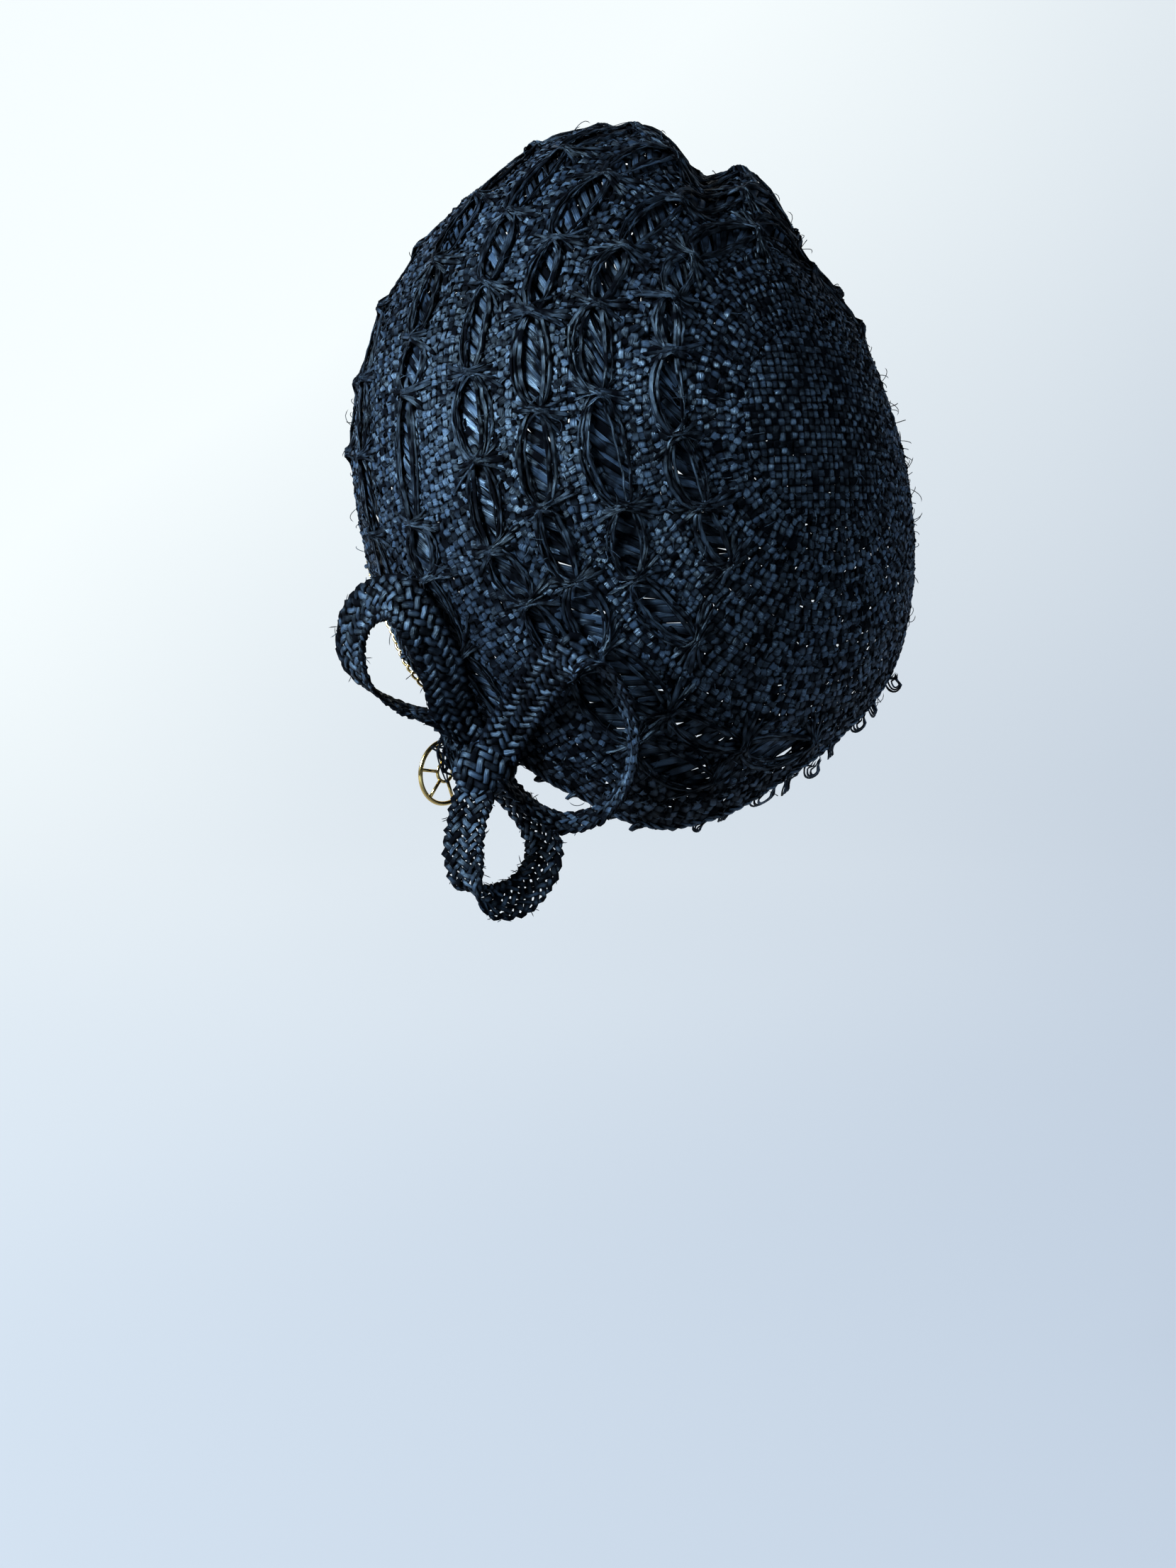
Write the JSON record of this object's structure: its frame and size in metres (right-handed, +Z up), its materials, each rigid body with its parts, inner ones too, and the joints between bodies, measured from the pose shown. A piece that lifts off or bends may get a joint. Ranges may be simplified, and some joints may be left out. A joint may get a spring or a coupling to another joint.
{
  "type": "straw hat",
  "caption": "Tall hood-shaped hat of woven straw with deep folds, a woven three-loop bow low at the back, a chain round the rim and a small round charm.",
  "frame": {"origin": "the middle of the head's seat, low in the hood's hollow", "axes": "+Z up along the hood's height as it is worn, +Y towards the wearer's face, +X towards the wearer's right"},
  "size_m": [0.1974, 0.2198, 0.2594],
  "materials": {
    "straw": "satin black woven straw",
    "bow_straw": "satin black woven straw strip",
    "gold": "polished pale gold"
  },
  "bodies": {
    "root": {"crown": "straw", "bow_knot": "bow_straw", "bow_loop_left": "bow_straw", "bow_loop_right": "bow_straw", "bow_loop_lower": "bow_straw", "rim_chain": "gold", "medallion": "gold", "medallion_ring": "gold"}
  },
  "joints": []
}
